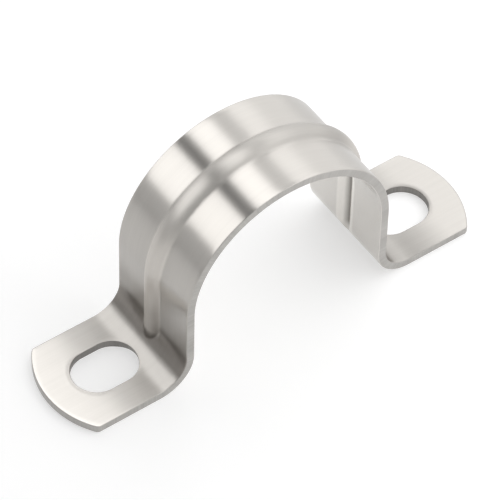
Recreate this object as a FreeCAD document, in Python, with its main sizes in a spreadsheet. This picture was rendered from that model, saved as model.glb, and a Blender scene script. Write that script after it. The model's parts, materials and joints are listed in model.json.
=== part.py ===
import FreeCAD, Part
import math
import os
import Sketcher

# Conduit strap: one piece of stainless sheet, folded over a conduit and screwed down at both ears.
# Frame: origin in the middle of the mounting plane, X along the strap, Y along the conduit, Z up.

# Driving dimensions in millimetres, each with a note on what it sets.
SIZES = [
    ("conduit_radius", 17.5, "radius of the conduit, and of the inside of the arch"),
    ("sheet_thickness", 1.5, "thickness of the sheet"),
    ("band_width", 18.5, "width of the strap, along the conduit"),
    ("axis_height", 15.8, "height of the conduit's axis over the mounting plane"),
    ("bend_radius", 4.8, "radius on the hollow side of the bend between a leg and its ear"),
    ("ear_reach", 19.5, "from the outer face of a leg to the tip of its ear"),
    ("ear_end_radius", 14.8, "radius of the arc that ends an ear"),
    ("ear_corner_radius", 0.8, "rounding of the two corners of an ear, seen from above"),
    ("slot_offset", 8.9, "from the outer face of a leg to the middle of its slot"),
    ("slot_length", 11.2, "length of a slot from end to end"),
    ("slot_width", 8.4, "width of a slot"),
    ("rib_height", 1.15, "how far the rib is pressed out of the sheet"),
    ("rib_crown_radius", 2.3, "radius of the rib's round crown, on the outside"),
    ("rib_root_radius", 0.5, "radius of the hollow where the rib rises from the outer face"),
    ("edge_bevel", 0.3, "broken edge along the cut sides and round the ears"),
    ("slot_bevel", 0.2, "broken edge of the slots"),
    ("cutter_margin", 1.0, "how far a cutting sketch runs past the sheet"),
]
VALUE = {name: value for name, value, note in SIZES}

# How close a point has to lie to a surface or plane to count as on it.
TOLERANCE = 0.001
# Points taken along an edge to find where it runs.
SAMPLES = 7

# Sketcher's numbers for a sketch's own axes and for the points of a piece of geometry.
H_AXIS = -1
V_AXIS = -2
START = 1
END = 2
CENTRE = 3


def make_sheet(document):
    """The spreadsheet of driving dimensions, one row each: name, value and note."""
    sheet = document.addObject("Spreadsheet::Sheet", "Sizes")
    for row, (name, value, note) in enumerate(SIZES, start=1):
        sheet.set("A%d" % row, name)
        sheet.set("B%d" % row, str(value))
        sheet.set("C%d" % row, note)
        sheet.setAlias("B%d" % row, name)
    document.recompute()
    return sheet


def origin_plane(body, role):
    """One of the body's own origin planes, found by its role."""
    return next(part for part in body.Origin.OriginFeatures if part.Role == role)


def new_sketch(body, name, role):
    """An empty sketch on one of the body's own origin planes."""
    sketch = body.newObject("Sketcher::SketchObject", name)
    sketch.AttachmentSupport = (origin_plane(body, role), [""])
    sketch.MapMode = "FlatFace"
    return sketch


def add_line(sketch, start, end):
    """A straight line between two points of the sketch's plane."""
    return sketch.addGeometry(Part.LineSegment(FreeCAD.Vector(*start), FreeCAD.Vector(*end)), False)


def add_arc(sketch, centre, radius, first, last):
    """An arc from the first to the last angle in degrees, anticlockwise."""
    circle = Part.Circle(FreeCAD.Vector(*centre), FreeCAD.Vector(0, 0, 1), radius)
    return sketch.addGeometry(Part.ArcOfCircle(circle, math.radians(first), math.radians(last)), False)


def join(sketch, kind, *ends):
    """Joins pairs of ends, each pair Coincident or Tangent."""
    for first, first_point, second, second_point in ends:
        sketch.addConstraint(Sketcher.Constraint(kind, first, first_point, second, second_point))


def keep(sketch, kind, *lines):
    """Keeps lines Horizontal or Vertical."""
    for number in lines:
        sketch.addConstraint(Sketcher.Constraint(kind, number))


def put_on(sketch, axis, *points):
    """Keeps points on one of the sketch's axes."""
    for number, point in points:
        sketch.addConstraint(Sketcher.Constraint("PointOnObject", number, point, axis))


def size(sketch, name, expression, kind, *target):
    """Adds a dimension to a sketch and binds it to the sheet."""
    constraint = sketch.addConstraint(Sketcher.Constraint(kind, *target))
    sketch.renameConstraint(constraint, name)
    sketch.setExpression("Constraints." + name, expression)


def side_outline(body):
    """Right half of the folded sheet seen along the conduit: arch, leg, bend and ear."""
    radius = VALUE["conduit_radius"]
    thickness = VALUE["sheet_thickness"]
    height = VALUE["axis_height"]
    bend = VALUE["bend_radius"]
    outer = radius + thickness
    bend_centre = (outer + bend, thickness + bend)
    tip = outer + VALUE["ear_reach"]
    sketch = new_sketch(body, "side_outline", "XZ_Plane")
    arch_inside = add_arc(sketch, (0, height), radius, 0, 90)
    crown = add_line(sketch, (0, height + radius), (0, height + outer))
    arch_outside = add_arc(sketch, (0, height), outer, 0, 90)
    leg_outside = add_line(sketch, (outer, height), (outer, bend_centre[1]))
    bend_above = add_arc(sketch, bend_centre, bend, 180, 270)
    ear_above = add_line(sketch, (bend_centre[0], thickness), (tip, thickness))
    ear_tip = add_line(sketch, (tip, thickness), (tip, 0))
    ear_below = add_line(sketch, (tip, 0), (bend_centre[0], 0))
    bend_below = add_arc(sketch, bend_centre, bend + thickness, 180, 270)
    leg_inside = add_line(sketch, (radius, bend_centre[1]), (radius, height))
    keep(sketch, "Vertical", leg_outside, ear_tip, leg_inside)
    keep(sketch, "Horizontal", ear_above)
    put_on(sketch, V_AXIS, (arch_inside, CENTRE), (arch_inside, END), (arch_outside, END))
    put_on(sketch, H_AXIS, (ear_below, START), (ear_below, END))
    join(
        sketch,
        "Coincident",
        (arch_inside, END, crown, START),
        (crown, END, arch_outside, END),
        (arch_outside, CENTRE, arch_inside, CENTRE),
        (ear_above, END, ear_tip, START),
        (ear_tip, END, ear_below, START),
        (bend_below, CENTRE, bend_above, CENTRE),
    )
    join(
        sketch,
        "Tangent",
        (arch_outside, START, leg_outside, START),
        (leg_outside, END, bend_above, START),
        (bend_above, END, ear_above, START),
        (ear_below, END, bend_below, END),
        (bend_below, START, leg_inside, START),
        (leg_inside, END, arch_inside, START),
    )
    size(sketch, "arch", "Sizes.conduit_radius", "Radius", arch_inside, radius)
    size(sketch, "wall", "Sizes.sheet_thickness", "DistanceY", crown, START, crown, END, thickness)
    size(sketch, "axis", "Sizes.axis_height", "DistanceY", H_AXIS, START, arch_inside, CENTRE, height)
    size(sketch, "bend", "Sizes.bend_radius", "Radius", bend_above, bend)
    size(
        sketch,
        "reach",
        "Sizes.ear_reach",
        "DistanceX",
        leg_outside,
        START,
        ear_tip,
        START,
        VALUE["ear_reach"],
    )
    return sketch


def ear_end_outline(body):
    """What is cut off beyond the arc that ends the ear, seen from above."""
    tip = VALUE["conduit_radius"] + VALUE["sheet_thickness"] + VALUE["ear_reach"]
    radius = VALUE["ear_end_radius"]
    side = VALUE["band_width"] / 2 + VALUE["cutter_margin"]
    beyond = tip + VALUE["cutter_margin"]
    half_angle = math.degrees(math.asin(side / radius))
    corner = tip - radius + math.sqrt(radius**2 - side**2)
    sketch = new_sketch(body, "ear_end_outline", "XY_Plane")
    end_arc = add_arc(sketch, (tip - radius, 0), radius, -half_angle, half_angle)
    far_side = add_line(sketch, (corner, side), (beyond, side))
    outside = add_line(sketch, (beyond, side), (beyond, -side))
    near_side = add_line(sketch, (beyond, -side), (corner, -side))
    keep(sketch, "Horizontal", far_side, near_side)
    keep(sketch, "Vertical", outside)
    put_on(sketch, H_AXIS, (end_arc, CENTRE))
    join(
        sketch,
        "Coincident",
        (end_arc, END, far_side, START),
        (far_side, END, outside, START),
        (outside, END, near_side, START),
        (near_side, END, end_arc, START),
    )
    leg_face = "Sizes.conduit_radius + Sizes.sheet_thickness"
    ear_tip = leg_face + " + Sizes.ear_reach"
    half_width = "Sizes.band_width / 2 + Sizes.cutter_margin"
    size(sketch, "end_radius", "Sizes.ear_end_radius", "Radius", end_arc, radius)
    size(
        sketch,
        "end_centre",
        ear_tip + " - Sizes.ear_end_radius",
        "DistanceX",
        H_AXIS,
        START,
        end_arc,
        CENTRE,
        tip - radius,
    )
    size(
        sketch,
        "past_tip",
        ear_tip + " + Sizes.cutter_margin",
        "DistanceX",
        H_AXIS,
        START,
        outside,
        START,
        beyond,
    )
    size(sketch, "past_far_side", half_width, "DistanceY", H_AXIS, START, outside, START, side)
    size(sketch, "past_near_side", half_width, "DistanceY", outside, END, H_AXIS, START, side)
    return sketch


def slot_outline(body):
    """The slot in the ear: two straight sides and two half-round ends."""
    middle = VALUE["conduit_radius"] + VALUE["sheet_thickness"] + VALUE["slot_offset"]
    radius = VALUE["slot_width"] / 2
    straight = VALUE["slot_length"] - VALUE["slot_width"]
    left = middle - straight / 2
    right = middle + straight / 2
    sketch = new_sketch(body, "slot_outline", "XY_Plane")
    far_side = add_line(sketch, (right, radius), (left, radius))
    inner_end = add_arc(sketch, (left, 0), radius, 90, 270)
    near_side = add_line(sketch, (left, -radius), (right, -radius))
    outer_end = add_arc(sketch, (right, 0), radius, 270, 450)
    put_on(sketch, H_AXIS, (inner_end, CENTRE), (outer_end, CENTRE))
    join(
        sketch,
        "Tangent",
        (far_side, END, inner_end, START),
        (inner_end, END, near_side, START),
        (near_side, END, outer_end, START),
        (outer_end, END, far_side, START),
    )
    leg_face = "Sizes.conduit_radius + Sizes.sheet_thickness"
    length = "Sizes.slot_length - Sizes.slot_width"
    size(sketch, "end_radius", "Sizes.slot_width / 2", "Radius", inner_end, radius)
    size(sketch, "straight", length, "DistanceX", inner_end, CENTRE, outer_end, CENTRE, straight)
    size(
        sketch,
        "place",
        leg_face + " + Sizes.slot_offset - (" + length + ") / 2",
        "DistanceX",
        H_AXIS,
        START,
        inner_end,
        CENTRE,
        left,
    )
    return sketch


def bead_section(body, name, face, crown, root, base):
    """Section of the pressed rib or of its groove, level with the conduit's axis.

    The sketch's own X runs along the conduit, and its Y is the distance from the conduit's axis.
    A round crown turns into the sheet's face through a hollow root at each side. Face, crown, root
    and base are pairs of a value and the expression that it comes from: the distance of the
    sheet's face, the two radii, and the distance of the line that closes the section.
    """
    peak = face[0] + VALUE["rib_height"]
    crown_centre = peak - crown[0]
    root_centre = face[0] + root[0]
    reach = crown[0] + root[0]
    half = math.sqrt(reach**2 - (root_centre - crown_centre) ** 2)
    slope = math.degrees(math.asin((root_centre - crown_centre) / reach))
    sketch = new_sketch(body, name, "XY_Plane")
    sketch.AttachmentOffset = FreeCAD.Placement(
        FreeCAD.Vector(0, 0, VALUE["axis_height"]), FreeCAD.Rotation(FreeCAD.Vector(0, 0, 1), -90)
    )
    sketch.setExpression("AttachmentOffset.Base.z", "Sizes.axis_height")
    base_line = add_line(sketch, (-half, base[0]), (half, base[0]))
    right_side = add_line(sketch, (half, base[0]), (half, face[0]))
    right_root = add_arc(sketch, (half, root_centre), root[0], 180 + slope, 270)
    crown_arc = add_arc(sketch, (0, crown_centre), crown[0], slope, 180 - slope)
    left_root = add_arc(sketch, (-half, root_centre), root[0], 270, 360 - slope)
    left_side = add_line(sketch, (-half, face[0]), (-half, base[0]))
    keep(sketch, "Horizontal", base_line)
    keep(sketch, "Vertical", right_side, left_side)
    put_on(sketch, V_AXIS, (crown_arc, CENTRE))
    join(
        sketch,
        "Coincident",
        (base_line, END, right_side, START),
        (right_side, END, right_root, END),
        (left_root, START, left_side, START),
        (left_side, END, base_line, START),
    )
    join(
        sketch,
        "Tangent",
        (right_root, START, crown_arc, START),
        (crown_arc, END, left_root, END),
    )
    join(
        sketch,
        "Vertical",
        (right_root, END, right_root, CENTRE),
        (left_root, START, left_root, CENTRE),
    )
    sketch.addConstraint(Sketcher.Constraint("Equal", right_root, left_root))
    size(sketch, "crown", crown[1], "Radius", crown_arc, crown[0])
    size(sketch, "root", root[1], "Radius", right_root, root[0])
    size(sketch, "right_face", face[1], "DistanceY", H_AXIS, START, right_root, END, face[0])
    size(sketch, "left_face", face[1], "DistanceY", H_AXIS, START, left_root, START, face[0])
    size(sketch, "base", base[1], "DistanceY", H_AXIS, START, base_line, START, base[0])
    size(
        sketch,
        "crown_centre",
        face[1] + " + Sizes.rib_height - (" + crown[1] + ")",
        "DistanceY",
        H_AXIS,
        START,
        crown_arc,
        CENTRE,
        crown_centre,
    )
    return sketch


def under_bend_outline(body):
    """The hollow under the bend, between the mounting plane and the sheet's underside."""
    radius = VALUE["bend_radius"] + VALUE["sheet_thickness"]
    inner = VALUE["conduit_radius"]
    sketch = new_sketch(body, "under_bend_outline", "XZ_Plane")
    underside = add_arc(sketch, (inner + radius, radius), radius, 180, 270)
    floor = add_line(sketch, (inner + radius, 0), (inner, 0))
    inner_face = add_line(sketch, (inner, 0), (inner, radius))
    join(
        sketch,
        "Tangent",
        (underside, END, floor, START),
        (inner_face, END, underside, START),
    )
    join(sketch, "Coincident", (floor, END, inner_face, START))
    put_on(sketch, H_AXIS, (floor, START), (floor, END))
    keep(sketch, "Vertical", inner_face)
    size(
        sketch,
        "under_radius",
        "Sizes.bend_radius + Sizes.sheet_thickness",
        "Radius",
        underside,
        radius,
    )
    size(
        sketch, "inner_face", "Sizes.conduit_radius", "DistanceX", H_AXIS, START, floor, END, inner
    )
    return sketch


def add_feature(body, kind, name, profile, **settings):
    """A feature made from a sketch. A setting given as text is an expression."""
    feature = body.newObject("PartDesign::" + kind, name)
    feature.Profile = profile
    for key, setting in settings.items():
        if isinstance(setting, str):
            feature.setExpression(key, setting)
        else:
            setattr(feature, key, setting)
    profile.Visibility = False
    body.Document.recompute()
    return feature


def through_width(body, kind, name, profile, width):
    """A Pad or Pocket across the sheet, as far to each side of the middle."""
    return add_feature(body, kind, name, profile, Length=width, Midplane=True)


def quarter_turn(body, kind, name, profile):
    """Turns a section up from the leg to the top of the arch, about the conduit's axis."""
    return add_feature(
        body, kind, name, profile, ReferenceAxis=(profile, ["H_Axis"]), Angle=90.0
    )


def sheet_level(point):
    """How far a point lies from the inner face and underside of the sheet, through the sheet."""
    radius = VALUE["conduit_radius"]
    thickness = VALUE["sheet_thickness"]
    outer_bend = VALUE["bend_radius"] + thickness
    across = abs(point.x)
    if point.z >= VALUE["axis_height"]:
        return math.hypot(across, point.z - VALUE["axis_height"]) - radius
    if across >= radius + outer_bend:
        return point.z
    if point.z >= outer_bend:
        return across - radius
    return outer_bend - math.hypot(across - radius - outer_bend, point.z - outer_bend)


def edge_points(edge):
    """Points spread along an edge."""
    first, last = edge.ParameterRange
    step = (last - first) / (SAMPLES - 1)
    return [edge.valueAt(first + step * number) for number in range(SAMPLES)]


def pick_edges(feature, test):
    """Names of a feature's edges whose points all pass a test, apart from straight ones along Y."""
    names = []
    for number, edge in enumerate(feature.Shape.Edges, start=1):
        points = edge_points(edge)
        span = points[-1] - points[0]
        along_y = abs(span.x) < TOLERANCE and abs(span.z) < TOLERANCE and abs(span.y) > TOLERANCE
        straight = isinstance(edge.Curve, Part.Line)
        if along_y and straight:
            continue
        if all(test(point) for point in points):
            names.append("Edge%d" % number)
    return names


def on_face(point, level):
    """Whether a point lies on the face of the sheet that is at a level through it."""
    return abs(sheet_level(point) - level) < TOLERANCE


def leg_face_x():
    """Distance of a leg's outer face from the middle."""
    return VALUE["conduit_radius"] + VALUE["sheet_thickness"]


def on_slot_edge(point):
    """Where the wall of the slot meets a face of the sheet."""
    half_straight = (VALUE["slot_length"] - VALUE["slot_width"]) / 2
    past_straight = abs(point.x - leg_face_x() - VALUE["slot_offset"]) - half_straight
    from_middle = math.hypot(max(past_straight, 0), point.y)
    return abs(from_middle - VALUE["slot_width"] / 2) < TOLERANCE and on_either_face(point)


def on_either_face(point):
    """On the outer or the inner face of the sheet."""
    return on_face(point, 0) or on_face(point, VALUE["sheet_thickness"])


def on_side(point):
    """On one of the two long cut sides of the sheet."""
    return abs(abs(point.y) - VALUE["band_width"] / 2) < TOLERANCE


def on_ear_end(point):
    """On the arc that ends the ear, or on its rounded corners."""
    centre = leg_face_x() + VALUE["ear_reach"] - VALUE["ear_end_radius"]
    from_centre = math.hypot(point.x - centre, point.y)
    return from_centre > VALUE["ear_end_radius"] - VALUE["ear_corner_radius"]


def on_cut_edge(point):
    """Where the cut side or the end of the ear meets a face of the sheet."""
    return (on_side(point) or on_ear_end(point)) and on_either_face(point)


def on_ear_corner(point):
    """On the upright edge at a corner of the ear."""
    centre = leg_face_x() + VALUE["ear_reach"] - VALUE["ear_end_radius"]
    on_arc = abs(math.hypot(point.x - centre, point.y) - VALUE["ear_end_radius"]) < TOLERANCE
    return on_arc and on_side(point)


def dress_edges(body, kind, name, base, test, **sizes):
    """A Fillet or a Chamfer of the edges that pass a test, with the expressions of its sizes."""
    dressing = body.newObject("PartDesign::" + kind, name)
    dressing.Base = (base, pick_edges(base, test))
    for key, expression in sizes.items():
        dressing.setExpression(key, expression)
    body.Document.recompute()
    return dressing


def make_strap(document):
    """The whole strap: the right half as sheet, rib, groove and slot, then its mirror image."""
    body = document.addObject("PartDesign::Body", "strap")
    body.Label = "strap"
    width = "Sizes.band_width"
    through_width(body, "Pad", "folded_sheet", side_outline(body), width)

    radius = VALUE["conduit_radius"]
    thickness = VALUE["sheet_thickness"]
    rib_section = bead_section(
        body,
        "rib_section",
        (radius + thickness, "Sizes.conduit_radius + Sizes.sheet_thickness"),
        (VALUE["rib_crown_radius"], "Sizes.rib_crown_radius"),
        (VALUE["rib_root_radius"], "Sizes.rib_root_radius"),
        (radius + thickness / 2, "Sizes.conduit_radius + Sizes.sheet_thickness / 2"),
    )
    quarter_turn(body, "Revolution", "rib_on_arch", rib_section)
    add_feature(body, "Pad", "rib_on_leg", rib_section, Length="Sizes.axis_height", Reversed=True)
    through_width(body, "Pocket", "under_bend", under_bend_outline(body), width)

    groove_section = bead_section(
        body,
        "groove_section",
        (radius, "Sizes.conduit_radius"),
        (
            VALUE["rib_crown_radius"] - thickness,
            "Sizes.rib_crown_radius - Sizes.sheet_thickness",
        ),
        (
            VALUE["rib_root_radius"] + thickness,
            "Sizes.rib_root_radius + Sizes.sheet_thickness",
        ),
        (
            radius - VALUE["cutter_margin"],
            "Sizes.conduit_radius - Sizes.cutter_margin",
        ),
    )
    quarter_turn(body, "Groove", "groove_in_arch", groove_section)
    add_feature(body, "Pocket", "groove_in_leg", groove_section, Length="Sizes.axis_height")

    add_feature(
        body,
        "Pocket",
        "ear_end",
        ear_end_outline(body),
        Length="2 * (Sizes.sheet_thickness + Sizes.cutter_margin)",
        Midplane=True,
    )
    slot = add_feature(
        body,
        "Pocket",
        "slot",
        slot_outline(body),
        Length="2 * (Sizes.sheet_thickness + Sizes.bend_radius)",
        Midplane=True,
    )

    corners = dress_edges(
        body, "Fillet", "ear_corners", slot, on_ear_corner, Radius="Sizes.ear_corner_radius"
    )
    edges = dress_edges(
        body, "Chamfer", "cut_edges", corners, on_cut_edge, Size="Sizes.edge_bevel"
    )
    dress_edges(body, "Chamfer", "slot_edges", edges, on_slot_edge, Size="Sizes.slot_bevel")

    whole = body.newObject("PartDesign::Mirrored", "both_halves")
    whole.MirrorPlane = (origin_plane(body, "YZ_Plane"), [""])
    whole.TransformMode = "Whole shape"
    body.Tip = whole
    document.recompute()
    return body


def check_document(document):
    """Stops where an object of the document failed to build."""
    for item in document.Objects:
        if "Invalid" in item.State or "Error" in item.State:
            raise RuntimeError("%s failed: %s" % (item.Name, item.State))


def check_shape(part):
    """Stops where a part has no shape, or one that isn't a single valid solid."""
    shape = part.Shape
    if shape.isNull() or not shape.isValid() or len(shape.Solids) != 1:
        raise RuntimeError("%s isn't one valid solid" % part.Label)


document = FreeCAD.newDocument("conduit_strap")
make_sheet(document)
strap = make_strap(document)
check_document(document)
check_shape(strap)
os.makedirs("parts", exist_ok=True)
strap.Shape.exportStep("parts/%s.step" % strap.Label)
print("%s: volume %.1f cubic millimetres" % (strap.Label, strap.Shape.Volume))
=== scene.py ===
import json
import math

import bmesh
import bpy
from mathutils import Matrix, Vector


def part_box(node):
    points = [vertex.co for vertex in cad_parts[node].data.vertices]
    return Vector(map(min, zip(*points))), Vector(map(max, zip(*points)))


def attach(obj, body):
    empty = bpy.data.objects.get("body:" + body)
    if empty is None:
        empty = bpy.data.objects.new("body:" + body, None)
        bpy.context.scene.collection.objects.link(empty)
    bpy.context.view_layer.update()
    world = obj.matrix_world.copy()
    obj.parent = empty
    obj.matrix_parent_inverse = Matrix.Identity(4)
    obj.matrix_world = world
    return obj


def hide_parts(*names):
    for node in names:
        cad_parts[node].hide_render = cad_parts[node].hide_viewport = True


# Conduit strap of satin stainless sheet: pierced flat, pressed with one rib, then folded.
# Frame: X along the strap, Y along the conduit, Z away from the wall. Lengths are in metres where
# no comment says otherwise.

MM = 0.001

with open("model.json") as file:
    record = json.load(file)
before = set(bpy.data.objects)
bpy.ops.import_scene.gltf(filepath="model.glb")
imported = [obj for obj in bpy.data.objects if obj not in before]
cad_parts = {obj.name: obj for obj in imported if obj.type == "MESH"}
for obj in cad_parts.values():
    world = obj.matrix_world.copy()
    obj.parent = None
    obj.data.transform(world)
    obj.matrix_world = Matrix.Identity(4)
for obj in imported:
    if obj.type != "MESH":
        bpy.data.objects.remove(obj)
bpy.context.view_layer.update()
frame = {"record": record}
mounts = {mount["name"]: mount for mount in frame["record"]["mounts"]}
high_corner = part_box("strap")[1]

# Sizes that the frame gives.
conduit_radius = mounts["conduit_seat"]["dims"]["r_mm"] * MM
axis_height = mounts["conduit_seat"]["pos_m"][2]
thickness = mounts["screw_slots"]["pos_m"][2]
half_width = high_corner.y
ear_tip = high_corner.x
slot_middle = mounts["screw_slots"]["dims"]["spacing_x_mm"] / 2 * MM
slot_radius = mounts["screw_slots"]["dims"]["hole_r_mm"] * MM
slot_length = mounts["screw_slots"]["dims"]["slot_length_mm"] * MM
rib_height = high_corner.z - axis_height - conduit_radius - thickness

# Sizes of the bend, the ear, the rib and the rounded edges.
bend_radius = 4.8 * MM
ear_end_radius = 14.8 * MM
ear_corner_radius = 0.8 * MM
rib_crown_radius = 2.0 * MM
rib_root_radius = 0.8 * MM
rib_run_out = 0.12 * MM
edge_rounding = 0.22 * MM
slot_rounding = 0.14 * MM

# The middle of the sheet's thickness, which keeps its length when the sheet is folded.
middle_arch = conduit_radius + thickness / 2
middle_bend = bend_radius + thickness / 2
bend_centre = (middle_arch + middle_bend, thickness / 2 + middle_bend)

# Distances along the flat sheet from the top of the arch. The ear line is halfway down the bend.
arch_length = middle_arch * math.pi / 2
leg_end = arch_length + axis_height - bend_centre[1]
bend_end = leg_end + middle_bend * math.pi / 2
ear_line = (leg_end + bend_end) / 2
flat_tip = bend_end + ear_tip - bend_centre[0]
flat_slot = bend_end + slot_middle - bend_centre[0]

# Half width of the rib where it meets the flat of the sheet, the same on both faces.
rib_reach = rib_crown_radius + rib_root_radius
rib_half = math.sqrt(rib_reach**2 - (rib_reach - rib_height) ** 2)

# How finely the blank is divided.
ARCH_ROWS = 48
LEG_ROWS = 5
BEND_ROWS = 22
FLAT_COLUMNS = 8
RIB_COLUMNS = 32
SIDE_BEND_STEPS = 8
SIDE_FLAT_STEPS = 10
EAR_END_STEPS = 40
EAR_RINGS = 7
EDGE_SEGMENTS = 3
CORNER_SEGMENTS = 4
# Points that are less than this apart are the same point.
CLOSE = 0.001 * MM

# An edge is square above this angle, and a wall's normal rises less than this.
SQUARE_ANGLE = math.radians(80)
WALL_SLOPE = 0.3

# The finishes by their numbers on the mesh.
OUTER_FACE, SHEARED_WALL, SLOT_WALL, INNER_FACE = range(4)

# Each finish has tints and roughness from its darker to its lighter marks.
STEEL_DARKER = (0.423, 0.406, 0.384)
STEEL_LIGHTER = (0.470, 0.452, 0.428)
STEEL_ROUGHNESS = (0.308, 0.275)
# The inner face keeps the brighter finish of the rolled sheet.
MILL_DARKER = (0.585, 0.565, 0.535)
MILL_LIGHTER = (0.64, 0.62, 0.59)
MILL_ROUGHNESS = (0.21, 0.15)
# The walls of the slots are darker with painted shade, and rougher: a punch tears them where
# shears only cut.
SHEARED_DARKER = (0.355, 0.344, 0.328)
SHEARED_LIGHTER = (0.485, 0.471, 0.45)
SHEARED_ROUGHNESS = (0.44, 0.32)
PIERCED_DARKER = (0.20, 0.193, 0.183)
PIERCED_LIGHTER = (0.30, 0.29, 0.275)
PIERCED_ROUGHNESS = (0.55, 0.42)

# Grain of the finishes: spots a metre along and across the strap, and levels of detail.
HAIRLINES = (90.0, 3600.0, 3.0)
STREAKS = (30.0, 1000.0, 2.0)
BRUSH_CLOUDS = (70.0, 90.0, 2.0)
MILL_GRAINS = (1500.0, 2500.0, 2.0)
MILL_CLOUDS = (120.0, 120.0, 3.0)
CUT_MARKS = (3500.0, 3500.0, 2.0)
CUT_PATCHES = (300.0, 300.0, 2.0)
# How much of the second noise each mix of two has.
STREAK_SHARE = 0.45
BRUSH_CLOUD_SHARE = 0.35
MILL_CLOUD_SHARE = 0.6
CUT_PATCH_SHARE = 0.5
# How much of its strength a noise keeps at each finer level of detail.
NOISE_FALL = 0.6
# A noise keeps mostly between these two values.
NOISE_LOW = 0.25
NOISE_HIGH = 0.75
# Bumps as strength and depth.
BRUSH_BUMP = (0.006, 0.01 * MM)
CUT_BUMP = (0.2, 0.02 * MM)
# Brush lines spread light across them, a quarter turn from the map's first direction.
BRUSH_SPREAD = 0.8
BRUSH_TURN = 0.25

# Painted shade in the hollow of the bend and at the ear's root, a painted highlight on the rib's
# ends and painted shade over its top. Pressing and bending make all of these rougher.
HOLLOW_PAINTED_SHADE = (0.66, 0.64, 0.625)
EAR_ROOT_PAINTED_SHADE = (0.77, 0.77, 0.77)
RIB_END_PAINTED_HIGHLIGHT = (1.28, 1.27, 1.26)
RIB_TOP_PAINTED_SHADE = (0.92, 0.92, 0.92)
LOWER_LEG_ROUGHER = 0.16
FOOT_ROUGHER = 0.2
RIB_ROUGHER = 0.14
# On the inner face the bottom of the groove has painted shade, and its flanks painted highlights.
GROOVE_PAINTED_SHADE = (0.34, 0.33, 0.32)
FLANK_PAINTED_HIGHLIGHT = (1.22, 1.22, 1.22)

# Where those changes lie on the flat sheet: each rises between two distances from the strap's
# middle and falls between two others. One with no rise starts at the middle.
LOWER_LEG_ALONG = ((leg_end - 8 * MM, leg_end - 3 * MM), (ear_line - MM, ear_line))
HOLLOW_ALONG = ((leg_end - 2 * MM, leg_end + MM), (ear_line - 0.6 * MM, ear_line + MM))
FOOT_ALONG = ((ear_line - MM, ear_line), (bend_end + MM, bend_end + 6 * MM))
EAR_ROOT_ALONG = ((ear_line, bend_end + 2 * MM), (bend_end + 4 * MM, bend_end + 9 * MM))
RIB_ALONG = (None, (leg_end + MM, leg_end + 3 * MM))
RIB_ENDS_ALONG = ((0.5 * arch_length, 0.75 * arch_length), RIB_ALONG[1])
RIB_ACROSS = (None, (0.8 * rib_half, 1.05 * rib_half))
RIB_ROUGH_ACROSS = (None, (0.6 * rib_half, 1.1 * rib_half))
GROOVE_ACROSS = (None, (0.85 * rib_half, 1.05 * rib_half))
GROOVE_BOTTOM_ACROSS = (None, (0.0, 0.36 * rib_half))
GROOVE_MIDDLE_ACROSS = (None, (0.25 * rib_half, 0.45 * rib_half))

# The floor's own colour, and the even white that the camera and the steel see on top of it.
FLOOR_GREY = 0.62
FLOOR_WHITE = 0.48
FLOOR_HALF = 3.0
# The ears stand this little over the floor, so that no two faces lie in one plane.
FLOOR_GAP = 0.02 * MM

# Soft panels along the conduit: name, the two long edges as distances along X and Z, the
# reach along Y, all in millimetres, and brightness. Two hang close over the strap's left half.
LONG_PANELS = [
    ("panel_low_right", (370.0, 12.0), (275.0, 240.0), (-600.0, 600.0), 1.4),
    ("panel_right", (270.0, 235.0), (163.0, 330.0), (-600.0, 600.0), 1.8),
    ("panel_roof", (160.0, 335.0), (-85.0, 361.0), (-600.0, 600.0), 0.96),
    ("panel_over", (-85.0, 361.0), (11.5, 100.0), (-160.0, 340.0), 1.32),
    ("panel_left", (-37.8, 87.0), (-95.0, 60.0), (-40.0, 140.0), 2.1),
    ("panel_low_left", (-342.0, 145.0), (-362.0, 30.0), (-600.0, 600.0), 0.6),
]
# The near panels are hooded, so that they light the strap and not the floor under them.
HOODED_PANELS = ("panel_over", "panel_left")
# Panels that close both ends: name, side along the conduit, and brightness.
END_PANELS = [
    ("panel_behind", 1, 0.9),
    ("panel_in_front", -1, 0.9),
]
END_DISTANCE = 0.6
END_WIDTH = 0.7
END_HEIGHT = 0.3
# The plain room that shows between the panels.
ROOM_GREY = 0.16

# The camera, found by fitting the strap's edges to the photograph. Its lens and sensor are in
# millimetres.
CAMERA_TARGET = Vector((0.0, 0.0, 10.0)) * MM
CAMERA_LENS = 288.0
CAMERA_SENSOR = 36.0
CAMERA_NEAR_LIMIT = 0.01
CAMERA_DISTANCE = 619.93 * MM
CAMERA_AZIMUTH = math.radians(-36.62)
CAMERA_ELEVATION = math.radians(50.254)
CAMERA_ROLL = math.radians(1.734)
CAMERA_SIDE_STEP = -0.561 * MM
CAMERA_RISE = 0.344 * MM


def spread(start, end, steps):
    """Places from start to end in even steps, without the first."""
    return [start + (end - start) * number / steps for number in range(1, steps + 1)]


def band_rows():
    """Places along the strap where the band of the blank is divided."""
    rows = [0.0]
    rows += spread(0.0, arch_length, ARCH_ROWS)
    rows += spread(arch_length, leg_end, LEG_ROWS)
    rows += spread(leg_end, ear_line, BEND_ROWS)
    return rows


def band_columns():
    """Places across the strap where the band is divided, finest over the rib."""
    columns = [-half_width]
    columns += spread(-half_width, -rib_half, FLAT_COLUMNS)
    columns += spread(-rib_half, rib_half, RIB_COLUMNS)
    columns += spread(rib_half, half_width, FLAT_COLUMNS)
    return columns


def lay_band(bm):
    """The band from the top of the arch to the ear line, as a flat grid of one side."""
    rows = band_rows()
    columns = band_columns()
    # The grid is one unit wide, so that a point's place gives its row and its column.
    grid = bmesh.ops.create_grid(
        bm, x_segments=len(rows) - 1, y_segments=len(columns) - 1, size=0.5
    )
    for vert in grid["verts"]:
        row = round((vert.co.x + 0.5) * (len(rows) - 1))
        column = round((vert.co.y + 0.5) * (len(columns) - 1))
        vert.co = Vector((rows[row], columns[column], 0.0))


def draw_on(bm, vert, place):
    """Draws an edge from a vertex to a place and returns the new vertex."""
    drawn = bmesh.ops.extrude_vert_indiv(bm, verts=[vert])["verts"][0]
    drawn.co = place
    return drawn


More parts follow.
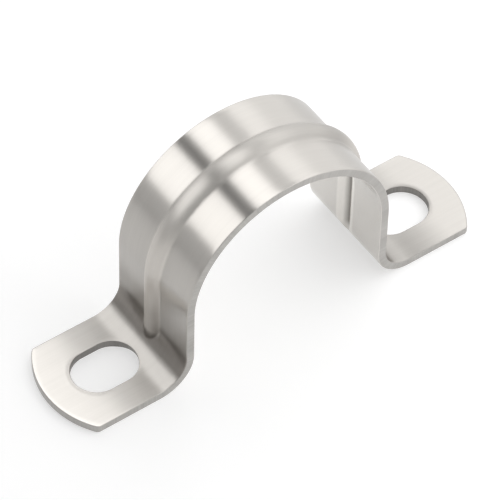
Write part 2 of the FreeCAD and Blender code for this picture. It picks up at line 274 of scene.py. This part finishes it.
def draw_ear_outline(bm):
    """Draws the sides and the round end of the ear on to the band, and returns the ear's loop."""
    half_angle = math.asin(half_width / ear_end_radius)
    corner = flat_tip - ear_end_radius * (1 - math.cos(half_angle))
    side = spread(ear_line, bend_end, SIDE_BEND_STEPS) + spread(bend_end, corner, SIDE_FLAT_STEPS)
    across = [vert for vert in bm.verts if abs(vert.co.x - ear_line) < CLOSE]
    loop = [edge for edge in bm.edges if all(vert in across for vert in edge.verts)]
    vert = max(across, key=lambda vert: vert.co.y)
    for place in side:
        vert = draw_on(bm, vert, Vector((place, half_width, 0.0)))
    far_corner = vert
    spun = bmesh.ops.spin(
        bm,
        geom=[vert],
        cent=(flat_tip - ear_end_radius, 0.0, 0.0),
        axis=(0.0, 0.0, -1.0),
        angle=2 * half_angle,
        steps=EAR_END_STEPS,
    )
    vert = next(item for item in spun["geom_last"] if isinstance(item, bmesh.types.BMVert))
    near_corner = vert
    for place in side[-2::-1] + [ear_line]:
        vert = draw_on(bm, vert, Vector((place, -half_width, 0.0)))
    turn = math.pi / 2 - half_angle
    bmesh.ops.bevel(
        bm,
        geom=[far_corner, near_corner],
        offset=ear_corner_radius * math.tan(turn / 2),
        offset_type="OFFSET",
        segments=CORNER_SEGMENTS,
        profile=0.5,
        affect="VERTICES",
        material=-1,
    )
    bmesh.ops.remove_doubles(bm, verts=bm.verts, dist=CLOSE)
    outline = [edge for edge in bm.edges if not edge.link_faces]
    return loop + outline


def draw_slot(bm, count):
    """Draws the slot as a circle of so many edges, pulled apart at its middle."""
    slot = bmesh.ops.create_circle(bm, segments=count, radius=slot_radius, cap_ends=False)
    bmesh.ops.rotate(
        bm, verts=slot["verts"], cent=(0, 0, 0), matrix=Matrix.Rotation(math.pi / 2, 3, "Z")
    )
    straight = slot_length / 2 - slot_radius
    for vert in slot["verts"]:
        if abs(vert.co.x) > CLOSE:
            vert.co.x += math.copysign(straight, vert.co.x)
    bmesh.ops.translate(bm, verts=slot["verts"], vec=(flat_slot, 0.0, slot_radius))
    return [edge for edge in bm.edges if edge.verts[0] in slot["verts"]]


def fill_ear(bm):
    """Fills the ear between its outline and its slot with rings of quads, and flattens it."""
    outline = draw_ear_outline(bm)
    slot = draw_slot(bm, len(outline))
    bridge = bmesh.ops.bridge_loops(bm, edges=outline + slot)
    bmesh.ops.subdivide_edges(
        bm, edges=bridge["edges"], cuts=EAR_RINGS - 1, use_grid_fill=True
    )
    bmesh.ops.scale(bm, verts=bm.verts, vec=(1.0, 1.0, 0.0))


def pierced_blank(bm):
    """The flat sheet with its two slots and round ends, as one face of the sheet."""
    lay_band(bm)
    fill_ear(bm)
    bmesh.ops.mirror(bm, geom=bm.verts[:] + bm.edges[:] + bm.faces[:], merge_dist=CLOSE, axis="X")
    bmesh.ops.recalc_face_normals(bm, faces=bm.faces)
    if bm.faces[0].normal.z < 0:
        bmesh.ops.reverse_faces(bm, faces=bm.faces)


def in_slot(place):
    """Whether a place on the blank is at the rim of a slot."""
    past = max(abs(abs(place.x) - flat_slot) - (slot_length / 2 - slot_radius), 0.0)
    return math.hypot(past, place.y) < slot_radius + slot_rounding


def square_rims(bm, inside_slot):
    """The square edges round the slots, or those of the plate's outline."""
    return [
        edge
        for edge in bm.edges
        if edge.calc_face_angle(0.0) > SQUARE_ANGLE
        and in_slot(edge.verts[0].co) == inside_slot
    ]


def give_thickness(bm):
    """Raises the blank to a plate, whose top becomes the outer face, and rounds its edges."""
    plate = bmesh.ops.extrude_face_region(bm, geom=bm.faces[:], use_keep_orig=True)
    raised = [item for item in plate["geom"] if isinstance(item, bmesh.types.BMVert)]
    bmesh.ops.translate(bm, verts=raised, vec=(0.0, 0.0, thickness))
    bmesh.ops.recalc_face_normals(bm, faces=bm.faces)
    for inside_slot, rounding in ((False, edge_rounding), (True, slot_rounding)):
        bmesh.ops.bevel(
            bm,
            geom=square_rims(bm, inside_slot),
            offset=rounding,
            offset_type="OFFSET",
            segments=EDGE_SEGMENTS,
            profile=0.5,
            affect="EDGES",
            material=-1,
        )


def rib_rise(across, level):
    """How far a layer of the sheet is pressed out at a distance from the rib's middle."""
    across = abs(across)
    crown = rib_crown_radius - thickness + level
    root = rib_reach - crown
    if across >= rib_half:
        return 0.0
    if across <= rib_half * crown / rib_reach:
        return rib_height - crown + math.sqrt(crown**2 - across**2)
    return root - math.sqrt(root**2 - (rib_half - across) ** 2)


def soft_floor(value, blend):
    """The larger of a value and nothing, rounded off over a blend to both sides."""
    if value >= blend:
        return value
    if value <= -blend:
        return 0.0
    return (value + blend) ** 2 / (4 * blend)


def fold(place):
    """Where a point of the flat plate lies once the rib is pressed and the sheet is folded."""
    side = math.copysign(1.0, place.x)
    along = abs(place.x)
    level = place.z
    rise = rib_rise(place.y, level)
    if along <= arch_length:
        angle = along / middle_arch
        radius = conduit_radius + level + rise
        x = radius * math.sin(angle)
        z = axis_height + radius * math.cos(angle)
    elif along <= leg_end:
        x = conduit_radius + level + rise
        z = axis_height - (along - arch_length)
    elif along <= bend_end:
        angle = (along - leg_end) / middle_bend
        hollow = bend_radius + thickness - level
        straight_on = hollow - (hollow - rise) / max(math.cos(angle), CLOSE)
        radius = hollow - soft_floor(straight_on, rib_run_out * rise / rib_height)
        x = bend_centre[0] - radius * math.cos(angle)
        z = bend_centre[1] - radius * math.sin(angle)
    else:
        x = bend_centre[0] + along - bend_end
        z = level
    return Vector((side * x, place.y, z))


def keep_flat_places(bm):
    """Keeps each point's place on the flat blank as a map, in metres along and across the strap."""
    flat = bm.loops.layers.uv.new("flat_sheet")
    for face in bm.faces:
        for loop in face.loops:
            loop[flat].uv = loop.vert.co.xy


def mark_finishes(bm):
    """Numbers the finish of each face while the plate is flat, with its outer face on top."""
    for face in bm.faces:
        if abs(face.normal.z) < WALL_SLOPE:
            at_slot = in_slot(face.calc_center_median())
            face.material_index = SLOT_WALL if at_slot else SHEARED_WALL
        else:
            face.material_index = OUTER_FACE if face.normal.z > 0 else INNER_FACE


def set_order(bm):
    """Puts points and faces in the order of their places, so that each run gives the same mesh."""
    by_place = sorted(bm.verts, key=lambda vert: vert.co[:])
    for rank, vert in enumerate(by_place):
        vert.index = rank
    bm.verts.sort()
    by_middle = sorted(bm.faces, key=lambda face: face.calc_center_median()[:])
    for rank, face in enumerate(by_middle):
        face.index = rank
    bm.faces.sort()


def make_strap():
    """The whole strap as one mesh."""
    bm = bmesh.new()
    pierced_blank(bm)
    give_thickness(bm)
    keep_flat_places(bm)
    bm.normal_update()
    mark_finishes(bm)
    for vert in bm.verts:
        vert.co = fold(vert.co)
    for face in bm.faces:
        face.smooth = True
    set_order(bm)
    mesh = bpy.data.meshes.new("strap_sheet")
    bm.to_mesh(mesh)
    bm.free()
    piece = bpy.data.objects.new("strap_sheet", mesh)
    bpy.context.scene.collection.objects.link(piece)
    # The large faces set the shading, so that a rounded edge doesn't bend that of its neighbours.
    shading = piece.modifiers.new("even_shading", "WEIGHTED_NORMAL")
    shading.mode = "FACE_AREA"
    shading.weight = 100
    return piece


def new_material(name):
    """A material by name, with its node tree and its shader."""
    material = bpy.data.materials.new(name)
    material.use_nodes = True
    return material, material.node_tree, material.node_tree.nodes["Principled BSDF"]


def calculate(tree, operation, *values):
    """One sum on values, each a number or another node's output."""
    node = tree.nodes.new("ShaderNodeMath")
    node.operation = operation
    for place, value in enumerate(values):
        if isinstance(value, float):
            node.inputs[place].default_value = value
        else:
            tree.links.new(value, node.inputs[place])
    return node.outputs["Value"]


def flat_places(tree):
    """The place of each point on the flat sheet, in metres."""
    places = tree.nodes.new("ShaderNodeUVMap")
    places.uv_map = "flat_sheet"
    return places.outputs["UV"]


def grain_noise(tree, flat, grain):
    """A noise on the flat sheet, of so many spots a metre along and across, and so much detail."""
    along, across, detail = grain
    spots = tree.nodes.new("ShaderNodeMapping")
    spots.inputs["Scale"].default_value = (along, across, 1.0)
    tree.links.new(flat, spots.inputs["Vector"])
    noise = tree.nodes.new("ShaderNodeTexNoise")
    noise.inputs["Scale"].default_value = 1.0
    noise.inputs["Detail"].default_value = detail
    noise.inputs["Roughness"].default_value = NOISE_FALL
    tree.links.new(spots.outputs["Vector"], noise.inputs["Vector"])
    return noise.outputs["Fac"]


def weigh(tree, first, second, share):
    """Mixes two noises, with so much of the second."""
    mix = tree.nodes.new("ShaderNodeMix")
    mix.data_type = "FLOAT"
    mix.inputs["Factor"].default_value = share
    tree.links.new(first, mix.inputs["A"])
    tree.links.new(second, mix.inputs["B"])
    return mix.outputs["Result"]


def value_between(tree, noise, first, last):
    """Turns a noise from low to high into values from the first to the last."""
    turned = tree.nodes.new("ShaderNodeMapRange")
    turned.inputs["From Min"].default_value = NOISE_LOW
    turned.inputs["From Max"].default_value = NOISE_HIGH
    turned.inputs["To Min"].default_value = first
    turned.inputs["To Max"].default_value = last
    tree.links.new(noise, turned.inputs["Value"])
    return turned.outputs["Result"]


def colour_between(tree, noise, darker, lighter):
    """Turns a noise from low to high into colours between two tints."""
    ramp = tree.nodes.new("ShaderNodeValToRGB")
    ramp.color_ramp.elements[0].position = NOISE_LOW
    ramp.color_ramp.elements[0].color = (*darker, 1.0)
    ramp.color_ramp.elements[1].position = NOISE_HIGH
    ramp.color_ramp.elements[1].color = (*lighter, 1.0)
    tree.links.new(noise, ramp.inputs["Fac"])
    return ramp.outputs["Color"]


def slope(tree, distance, near, far, rising):
    """Rises from nothing to one between two distances, or falls from one to nothing."""
    ramp = tree.nodes.new("ShaderNodeMapRange")
    ramp.interpolation_type = "SMOOTHSTEP"
    ramp.inputs["From Min"].default_value = near
    ramp.inputs["From Max"].default_value = far
    ramp.inputs["To Min"].default_value = 0.0 if rising else 1.0
    ramp.inputs["To Max"].default_value = 1.0 if rising else 0.0
    tree.links.new(distance, ramp.inputs["Value"])
    return ramp.outputs["Result"]


def zone(tree, flat, axis, rise, fall):
    """One in a zone of the flat sheet, X along or Y across, on both sides of its middle."""
    parts = tree.nodes.new("ShaderNodeSeparateXYZ")
    tree.links.new(flat, parts.inputs["Vector"])
    distance = calculate(tree, "ABSOLUTE", parts.outputs[axis])
    inside = slope(tree, distance, *fall, rising=False)
    if rise is None:
        return inside
    return calculate(tree, "MULTIPLY", slope(tree, distance, *rise, rising=True), inside)


def rib_zone(tree, flat, across, along):
    """One where a zone across the rib and one along it meet."""
    crosswise = zone(tree, flat, "Y", *across)
    lengthwise = zone(tree, flat, "X", *along)
    return calculate(tree, "MULTIPLY", crosswise, lengthwise)


def apart_from(tree, part, other):
    """A part of the sheet without what lies in another."""
    return calculate(tree, "MULTIPLY", part, calculate(tree, "SUBTRACT", 1.0, other))


def tint_part(tree, colour, part, tint):
    """A colour multiplied by a tint in one part of the sheet."""
    tinted = tree.nodes.new("ShaderNodeMix")
    tinted.data_type = "RGBA"
    tinted.blend_type = "MULTIPLY"
    # This node's sockets share their names, so they go by their places.
    tree.links.new(part, tinted.inputs[0])
    tree.links.new(colour, tinted.inputs[6])
    tinted.inputs[7].default_value = (*tint, 1.0)
    return tinted.outputs[2]


def add_bump(tree, shader, height, strength, depth):
    """Gives a shader a bump of so much strength and depth."""
    bump = tree.nodes.new("ShaderNodeBump")
    bump.inputs["Strength"].default_value = strength
    bump.inputs["Distance"].default_value = depth
    tree.links.new(height, bump.inputs["Height"])
    tree.links.new(bump.outputs["Normal"], shader.inputs["Normal"])


def satin_steel():
    """The outer face, with a fine grain of brush lines along the strap."""
    material, tree, shader = new_material("satin_steel")
    shader.inputs["Metallic"].default_value = 1.0
    shader.inputs["Anisotropic"].default_value = BRUSH_SPREAD
    shader.inputs["Anisotropic Rotation"].default_value = BRUSH_TURN
    tangent = tree.nodes.new("ShaderNodeTangent")
    tangent.direction_type = "UV_MAP"
    tangent.uv_map = "flat_sheet"
    tree.links.new(tangent.outputs["Tangent"], shader.inputs["Tangent"])
    flat = flat_places(tree)
    streaks = grain_noise(tree, flat, STREAKS)
    lines = weigh(tree, grain_noise(tree, flat, HAIRLINES), streaks, STREAK_SHARE)
    tones = weigh(tree, lines, grain_noise(tree, flat, BRUSH_CLOUDS), BRUSH_CLOUD_SHARE)

    rib_end_highlight = rib_zone(tree, flat, RIB_ACROSS, RIB_ENDS_ALONG)
    rib_top_shade = apart_from(tree, rib_zone(tree, flat, RIB_ACROSS, RIB_ALONG), rib_end_highlight)
    hollow = apart_from(tree, zone(tree, flat, "X", *HOLLOW_ALONG), rib_end_highlight)
    ear_root_shade = zone(tree, flat, "X", *EAR_ROOT_ALONG)
    colour = colour_between(tree, tones, STEEL_DARKER, STEEL_LIGHTER)
    # Painted shade in the hollow and at the ear's root, a painted highlight on the rib's ends and
    # painted shade over the rib's top.
    colour = tint_part(tree, colour, hollow, HOLLOW_PAINTED_SHADE)
    colour = tint_part(tree, colour, ear_root_shade, EAR_ROOT_PAINTED_SHADE)
    colour = tint_part(tree, colour, rib_end_highlight, RIB_END_PAINTED_HIGHLIGHT)
    colour = tint_part(tree, colour, rib_top_shade, RIB_TOP_PAINTED_SHADE)
    tree.links.new(colour, shader.inputs["Base Color"])

    foot = zone(tree, flat, "X", *FOOT_ALONG)
    lower_leg = zone(tree, flat, "X", *LOWER_LEG_ALONG)
    rib = rib_zone(tree, flat, RIB_ROUGH_ACROSS, RIB_ALONG)
    roughness = value_between(tree, tones, *STEEL_ROUGHNESS)
    roughness = calculate(tree, "MULTIPLY_ADD", foot, FOOT_ROUGHER, roughness)
    roughness = calculate(tree, "MULTIPLY_ADD", lower_leg, LOWER_LEG_ROUGHER, roughness)
    roughness = calculate(tree, "MULTIPLY_ADD", rib, RIB_ROUGHER, roughness)
    tree.links.new(roughness, shader.inputs["Roughness"])
    add_bump(tree, shader, streaks, *BRUSH_BUMP)
    return material


def cut_steel(name, darker, lighter, roughness):
    """A cut wall of the sheet, with fine marks all over and larger patches."""
    material, tree, shader = new_material(name)
    shader.inputs["Metallic"].default_value = 1.0
    flat = flat_places(tree)
    marks = grain_noise(tree, flat, CUT_MARKS)
    cut = weigh(tree, marks, grain_noise(tree, flat, CUT_PATCHES), CUT_PATCH_SHARE)
    tree.links.new(colour_between(tree, cut, darker, lighter), shader.inputs["Base Color"])
    tree.links.new(value_between(tree, cut, *roughness), shader.inputs["Roughness"])
    add_bump(tree, shader, cut, *CUT_BUMP)
    return material


def mill_steel():
    """The inner face: the even cloudy rolled finish, with painted light and shade in its groove."""
    material, tree, shader = new_material("mill_steel")
    shader.inputs["Metallic"].default_value = 1.0
    flat = flat_places(tree)
    grains = grain_noise(tree, flat, MILL_GRAINS)
    tones = weigh(tree, grains, grain_noise(tree, flat, MILL_CLOUDS), MILL_CLOUD_SHARE)
    groove = rib_zone(tree, flat, GROOVE_ACROSS, RIB_ALONG)
    bottom = rib_zone(tree, flat, GROOVE_BOTTOM_ACROSS, RIB_ALONG)
    flanks = apart_from(tree, groove, rib_zone(tree, flat, GROOVE_MIDDLE_ACROSS, RIB_ALONG))
    # Painted shade at the bottom of the groove and painted highlights on its flanks.
    colour = colour_between(tree, tones, MILL_DARKER, MILL_LIGHTER)
    colour = tint_part(tree, colour, bottom, GROOVE_PAINTED_SHADE)
    colour = tint_part(tree, colour, flanks, FLANK_PAINTED_HIGHLIGHT)
    tree.links.new(colour, shader.inputs["Base Color"])
    tree.links.new(value_between(tree, tones, *MILL_ROUGHNESS), shader.inputs["Roughness"])
    return material


def white_floor():
    """A matt pale floor, to which what is seen and mirrored of it adds an even white."""
    material, tree, shader = new_material("white_floor")
    shader.inputs["Base Color"].default_value = (FLOOR_GREY, FLOOR_GREY, FLOOR_GREY, 1.0)
    shader.inputs["Roughness"].default_value = 1.0
    shader.inputs["Specular IOR Level"].default_value = 0.0
    rays = tree.nodes.new("ShaderNodeLightPath").outputs
    seen = calculate(tree, "ADD", rays["Is Camera Ray"], rays["Is Glossy Ray"])
    seen = calculate(tree, "ADD", seen, rays["Is Transmission Ray"])
    white = calculate(tree, "MULTIPLY", seen, FLOOR_WHITE)
    shader.inputs["Emission Color"].default_value = (1.0, 1.0, 1.0, 1.0)
    tree.links.new(white, shader.inputs["Emission Strength"])
    return material


def make_floor():
    """A plain white floor that keeps the strap's shadow."""
    bm = bmesh.new()
    bmesh.ops.create_grid(bm, x_segments=1, y_segments=1, size=FLOOR_HALF)
    bmesh.ops.translate(bm, verts=bm.verts, vec=(0.0, 0.0, -FLOOR_GAP))
    mesh = bpy.data.meshes.new("floor")
    bm.to_mesh(mesh)
    bm.free()
    floor = bpy.data.objects.new("floor", mesh)
    bpy.context.scene.collection.objects.link(floor)
    floor.data.materials.append(white_floor())


def make_world():
    """A plain grey room."""
    world = bpy.data.worlds.new("room")
    world.use_nodes = True
    background = world.node_tree.nodes["Background"]
    background.inputs["Color"].default_value = (ROOM_GREY, ROOM_GREY, ROOM_GREY, 1.0)
    bpy.context.scene.world = world


def hang_panel(name, middle, back, along, width, length, brightness):
    """An even soft panel, so wide and so long, with its back turned to a direction."""
    light = bpy.data.lights.new(name, "AREA")
    light.shape = "RECTANGLE"
    light.size = width
    light.size_y = length
    # A panel sends out its energy over pi times its area in each direction.
    light.energy = brightness * math.pi * width * length
    panel = bpy.data.objects.new(name, light)
    bpy.context.scene.collection.objects.link(panel)
    axes = Matrix((along.cross(back), along, back)).transposed()
    panel.matrix_world = Matrix.Translation(middle) @ axes.to_4x4()
    panel.visible_camera = False
    return panel


def hang_panels(strap):
    """The long panels that face the strap, and those at both ends of the conduit's axis."""
    along = Vector((0.0, 1.0, 0.0))
    upright = Vector((0.0, 0.0, 1.0))
    lit_alone = bpy.data.collections.new("lit_alone")
    lit_alone.objects.link(strap)
    for name, first, second, reach, brightness in LONG_PANELS:
        first = Vector((first[0], 0.0, first[1])) * MM
        second = Vector((second[0], 0.0, second[1])) * MM
        middle = (first + second) / 2
        back = (second - first).cross(along).normalized()
        if back.dot(middle) < 0:
            back.negate()
        middle += along * (reach[0] + reach[1]) / 2 * MM
        width = (second - first).length
        length = (reach[1] - reach[0]) * MM
        panel = hang_panel(name, middle, back, along, width, length, brightness)
        if name in HOODED_PANELS:
            panel.light_linking.receiver_collection = lit_alone
    for name, side, brightness in END_PANELS:
        middle = Vector((0.0, side * END_DISTANCE, END_HEIGHT / 2))
        hang_panel(name, middle, along * side, upright, END_WIDTH, END_HEIGHT, brightness)


def make_camera():
    """A camera at the photograph's viewing angle."""
    back = Vector(
        (
            math.sin(CAMERA_AZIMUTH) * math.cos(CAMERA_ELEVATION),
            -math.cos(CAMERA_AZIMUTH) * math.cos(CAMERA_ELEVATION),
            math.sin(CAMERA_ELEVATION),
        )
    )
    level = Vector((math.cos(CAMERA_AZIMUTH), math.sin(CAMERA_AZIMUTH), 0.0))
    right = math.cos(CAMERA_ROLL) * level + math.sin(CAMERA_ROLL) * back.cross(level)
    up = back.cross(right)
    data = bpy.data.cameras.new("camera")
    data.lens = CAMERA_LENS
    data.sensor_width = CAMERA_SENSOR
    data.clip_start = CAMERA_NEAR_LIMIT
    camera = bpy.data.objects.new("camera", data)
    bpy.context.scene.collection.objects.link(camera)
    place = CAMERA_TARGET + back * CAMERA_DISTANCE + right * CAMERA_SIDE_STEP + up * CAMERA_RISE
    turned = Matrix((right, up, back)).transposed()
    camera.matrix_world = Matrix.Translation(place) @ turned.to_4x4()
    bpy.context.scene.camera = camera


# The materials are added in the order of the finishes' numbers.
strap = make_strap()
finishes = [
    satin_steel(),
    cut_steel("sheared_edge", SHEARED_DARKER, SHEARED_LIGHTER, SHEARED_ROUGHNESS),
    cut_steel("pierced_edge", PIERCED_DARKER, PIERCED_LIGHTER, PIERCED_ROUGHNESS),
    mill_steel(),
]
for finish in finishes:
    strap.data.materials.append(finish)
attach(strap, "root")
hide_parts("strap")

make_floor()
make_world()
hang_panels(strap)
make_camera()
bpy.context.scene.view_settings.view_transform = "Standard"
